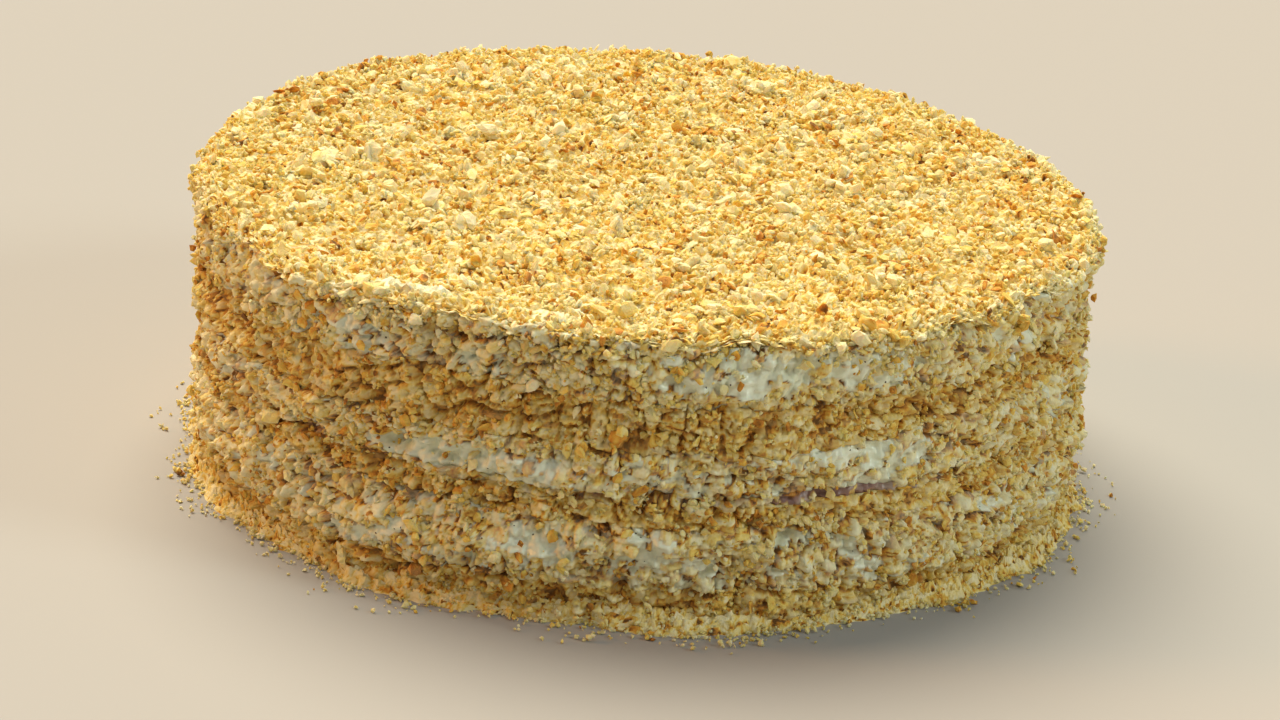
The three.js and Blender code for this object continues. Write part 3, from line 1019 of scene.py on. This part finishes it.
def crumb_sizes(count, rng, low, high, thickness):
    """Length, width and thickness of each crumb: many small ones and fewer large ones."""
    length = low + (high - low) * rng.random(count) ** SMALL_MANY
    width = length * rng.uniform(*WIDTHS, count)
    thick = length * rng.uniform(*thickness, count)
    return np.stack([length, width, thick], -1) * MM


def on_top(count, rng, sink):
    """Places on the crumb bed, even by area, with their normals. Past the bed's edge they drop with
    the quarter circle of the rim."""
    angle = rng.random(count) * TURN
    radius = np.sqrt(rng.random(count)) * (outline(angle, RIM_LEVEL) - TOP_IN)
    x, y = radius * np.sin(angle), -radius * np.cos(angle)
    past = (radius - bed_edge(angle)).clip(0)
    drop = RIM_ROUNDING - np.sqrt((RIM_ROUNDING**2 - past.clip(0, RIM_ROUNDING) ** 2).clip(0))
    z = bed_height(x, y) - drop - sink * MM
    kept = rng.random(count) < bed_cover(x, y)
    slope = (past / RIM_ROUNDING)[:, None]
    normal = turned(0, angle, 1) * (1 - slope) + slope * turned(1, angle, ROUND_RIM)
    return np.stack([x, y, z], -1)[kept], unit(normal)[kept]


def on_side(count, rng, sink):
    """Places on the side where crumbs cover it, with their normals."""
    angle = rng.random(DRAWN * count) * TURN
    height = rng.uniform(*SIDE_CRUMBED, DRAWN * count) * MM
    along = angle * MEAN_RADIUS
    share = side_cover(along, height) * (1 - IN_GAPS * side_gaps(along, height))
    kept = rng.random(DRAWN * count) < share
    angle, height = angle[kept][:count], height[kept][:count]
    radius = outline(angle, height) + side_form(angle, height) - sink * MM
    return turned(radius, angle, height), turned(1, angle, 0)


def on_foot(count, rng, spill):
    """Places on the heap at the foot, and some on the floor just beyond it, in clusters."""
    angle = rng.random(count) * TURN
    radius, height = foot_surface(angle, rng.random(count) ** FOOT_OUTER)
    cluster = clusters(angle * MEAN_RADIUS, 14, 42)
    stray = rng.random(count) < STRAYS + STRAY_CLUSTERS * cluster
    thrown = rng.exponential(spill, count).clip(0, MOST_THROWN * spill) * MM
    beyond = foot_surface(angle, 0)[0] + thrown * (THROWN + THROWN_CLUSTERS * cluster)
    places = turned(np.where(stray, beyond, radius), angle, np.where(stray, 0, height) + LIE)
    return places, unit(turned(FOOT_LEAN, angle, 1))


def on_rim(count, rng, sink):
    """Places along the rim of the crumb bed, in clusters, with their normals."""
    angle = rng.random(DRAWN * count) * TURN
    cluster = clusters(angle * MEAN_RADIUS, 9, 41)
    kept = rng.random(DRAWN * count) < RIM_CLUSTERS[0] + RIM_CLUSTERS[1] * (cluster > 0.5)
    angle, cluster = angle[kept][:count], cluster[kept][:count]
    edge = outline(angle, RIM_LEVEL)
    down = rng.random(len(angle)) ** HANGS_MOSTLY * (HANGS + HANGS_IN_CLUSTERS * cluster**2)
    height = bed_height(edge * np.sin(angle), -edge * np.cos(angle)) - RIM_DOWN - down
    radius = edge + (RIM_FORWARD - sink) * MM + rim_sway(angle)
    radius = radius - RIM_ROUNDS * (1 - down / down.max()) ** 2
    return turned(radius, angle, height), unit(turned(1, angle, RIM_LEAN))


# Kinds of loose crumbs: name, where, how many, least and greatest length, thickness as a share of
# it, how far sunk in or, at the foot, how far strays are thrown, usual browning and the share that
# is toasted, then the shape: ball, balls to a bit, knobs, roughness, tilt. Millimetres.
FINE_BALL, COARSE_BALL = (3, 6), (2, 5)
LUMP, CRUMB = (FINE_BALL, 4, 6, 0.13, 0.5), (COARSE_BALL, 3, 5, 0.13, 0.6)
FLAKE, GRIT = (FINE_BALL, 1, 6, 0.15, 0.45), (COARSE_BALL, 1, 5, 0.2, 1.0)
KINDS = [
    ("top_lumps", on_top, 930, (4.0, 11.0), (0.4, 0.65), 0.5, (0.2, 0.06), LUMP),
    ("top_flakes", on_top, 700, (3.2, 6.0), (0.15, 0.3), -0.9, (0.46, 0.4), FLAKE),
    ("top_crumbs", on_top, 2500, (2.8, 5.4), (0.55, 0.9), -0.2, (0.32, 0.1), CRUMB),
    ("top_grit", on_top, 4000, (1.3, 2.8), (0.6, 0.95), -0.4, (0.36, 0.1), GRIT),
    ("rim_lumps", on_rim, 320, (4.0, 9.0), (0.45, 0.7), 1.2, (0.3, 0.12), LUMP),
    ("rim_crumbs", on_rim, 900, (2.0, 4.2), (0.55, 0.9), 0.0, (0.36, 0.1), CRUMB),
    ("side_lumps", on_side, 800, (4.0, 9.0), (0.4, 0.7), 0.6, (0.36, 0.12), LUMP),
    ("side_flakes", on_side, 600, (3.0, 6.0), (0.15, 0.3), -0.4, (0.5, 0.4), FLAKE),
    ("side_crumbs", on_side, 2900, (2.4, 5.0), (0.5, 0.85), 0.0, (0.45, 0.12), CRUMB),
    ("side_grit", on_side, 5600, (1.1, 2.5), (0.5, 0.9), 0.0, (0.46, 0.06), GRIT),
    ("foot_bits", on_foot, 400, (1.8, 4.8), (0.4, 0.7), 2.6, (0.34, 0.1), CRUMB),
    ("foot_grit", on_foot, 2300, (0.8, 2.2), (0.5, 0.9), 2.6, (0.34, 0.06), GRIT),
]


GOLDEN = [(7, 6, 47, 0.34)]  # clusters of more and of less browned crumbs
ANY_FILM, CREAM_FILM = 0.25, 0.6  # the most film on any crumb, and more on the cream
ON_CREAM, ON_PASTRY = -0.03, 0.07  # crumbs stuck to cream are paler


def build_crumbs(material):
    """Scatters each kind of loose crumb."""
    is_cream = np.array([filling == "cream" for _, filling in LAYERS])
    for number, (name, where, count, lengths, thickness, sink, tones, shape) in enumerate(KINDS):
        rng = np.random.default_rng(SEED + 200 + number)
        places, normals = where(count, rng, sink)
        sizes = crumb_sizes(len(places), rng, *lengths, thickness)
        browning = crumb_browning(len(places), rng, *tones)
        x, y, z = places.T
        spread = (x, y) if where is on_top else (np.arctan2(x, -y) * MEAN_RADIUS, z)
        browning = browning + noises(*spread, GOLDEN, None)
        film = ANY_FILM * rng.random(len(places))
        if where is on_side:
            on_cream = is_cream[layer_at(places)]
            browning = browning + np.where(on_cream, ON_CREAM, ON_PASTRY)
            film = film + on_cream * CREAM_FILM * rng.random(len(places)) * (1 - browning)
        seed = SEED + 300 + number
        broken_pieces(name, places, normals, sizes, browning, film, shape, material, seed)


# ---- the studio

FLOOR_FLAT = 2.5  # radius of its level middle
FLOOR_RADIUS, FLOOR_RISE = 6.0, 1.3  # of its edge
FLOOR_RINGS, FLOOR_SPOKES = 32, 96


def build_floor():
    """A plain pale studio floor, level round the cake and swept up far away like a shallow dish, so
    that it meets the eye behind the cake from low down as well. Height grows with the square of
    the distance past the level middle."""
    radius = np.linspace(0, FLOOR_RADIUS, FLOOR_RINGS + 1)[1:, None]
    angle = np.arange(FLOOR_SPOKES) * TURN / FLOOR_SPOKES
    height = FLOOR_RISE * ((radius - FLOOR_FLAT).clip(0) / (FLOOR_RADIUS - FLOOR_FLAT)) ** 2
    points = np.concatenate([turned(radius, angle, height).reshape(-1, 3), [[0, 0, 0]]])
    rings = np.arange(FLOOR_RINGS * FLOOR_SPOKES).reshape(FLOOR_RINGS, FLOOR_SPOKES)[::-1]
    fan = np.stack([np.full(FLOOR_SPOKES, rings.size), rings[-1], np.roll(rings[-1], -1)], -1)
    floor = new_piece("studio_floor", points, band_faces(rings), fan, floor_material(), True)


def add_light(name, toward, softness, strength, colour):
    """A soft, far light that shines from a direction onto everything alike, so that the floor is
    evenly lit as well. The softness is how wide the light looks from the cake, in degrees."""
    lamp = bpy.data.lights.new(name, "SUN")
    lamp.angle = math.radians(softness)
    lamp.energy = strength
    lamp.color = linear(colour)[:3]
    light = bpy.data.objects.new(name, lamp)
    light.rotation_euler = Vector(toward).to_track_quat("Z", "Y").to_euler()
    bpy.context.scene.collection.objects.link(light)


def build_studio():
    """A large warm light above and behind, weak ones from the left, the right and high in front,
    and pale, cool surroundings."""
    add_light("key_behind", (-0.25, 0.6, 1.1), 50, 5.0, "#FFF4DC")
    add_light("warm_left", (-1.1, 0.0, 0.5), 16, 1.05, "#FFAC44")
    add_light("pale_right", (1.0, -0.3, 0.6), 16, 1.05, "#E6F2EE")
    add_light("front_high", (-0.1, -0.8, 1.4), 15, 0.35, "#F0F6FA")
    world = bpy.data.worlds.new("pale_room")
    world.use_nodes = True
    back = world.node_tree.nodes["Background"]
    back.inputs["Color"].default_value = linear("#D6E3EE")
    back.inputs["Strength"].default_value = 0.17
    bpy.context.scene.world = world
    bpy.context.scene.view_settings.view_transform = "Standard"


CAMERA_PLACE = (-2.4 * MM, -1029 * MM, 399 * MM)
CAMERA_PITCH = math.radians(19.9)  # downwards
CAMERA_YAW = math.radians(0.15)  # to the right
CAMERA_ROLL = math.radians(4.4)  # the right side lies lower in the picture
SENSOR = 36.0
LENS = 118.1


def build_camera():
    """The camera in front of the cake, looking down on it and held a little crooked."""
    ahead = Vector((
        math.sin(CAMERA_YAW) * math.cos(CAMERA_PITCH),
        math.cos(CAMERA_YAW) * math.cos(CAMERA_PITCH),
        -math.sin(CAMERA_PITCH),
    ))
    level = ahead.cross(Vector((0, 0, 1))).normalized()
    over = level.cross(ahead)
    right = math.cos(CAMERA_ROLL) * level + math.sin(CAMERA_ROLL) * over
    up = right.cross(ahead)
    lens = bpy.data.cameras.new("camera")
    lens.sensor_width = SENSOR
    lens.lens = LENS
    lens.clip_start = 0.05
    camera = bpy.data.objects.new("camera", lens)
    turn = Matrix((right, up, -ahead)).transposed().to_4x4()
    camera.matrix_world = Matrix.Translation(CAMERA_PLACE) @ turn
    bpy.context.scene.collection.objects.link(camera)
    bpy.context.scene.camera = camera


def main():
    """Everything, in the order in which it is laid."""
    build_camera()
    build_studio()
    build_floor()
    coats = {f: coated_material(f"{f}_with_pastry_crumbs", f) for f in FILLINGS}
    for index, (_, filling) in enumerate(LAYERS):
        build_layer(index, coats[filling])
    build_bed(coated_material("pressed_crumbs_on_cream", "cream"))
    build_foot(coated_material("pressed_pastry_crumbs", "pastry"))
    build_crumbs(crumb_material("broken_puff_pastry"))


main()
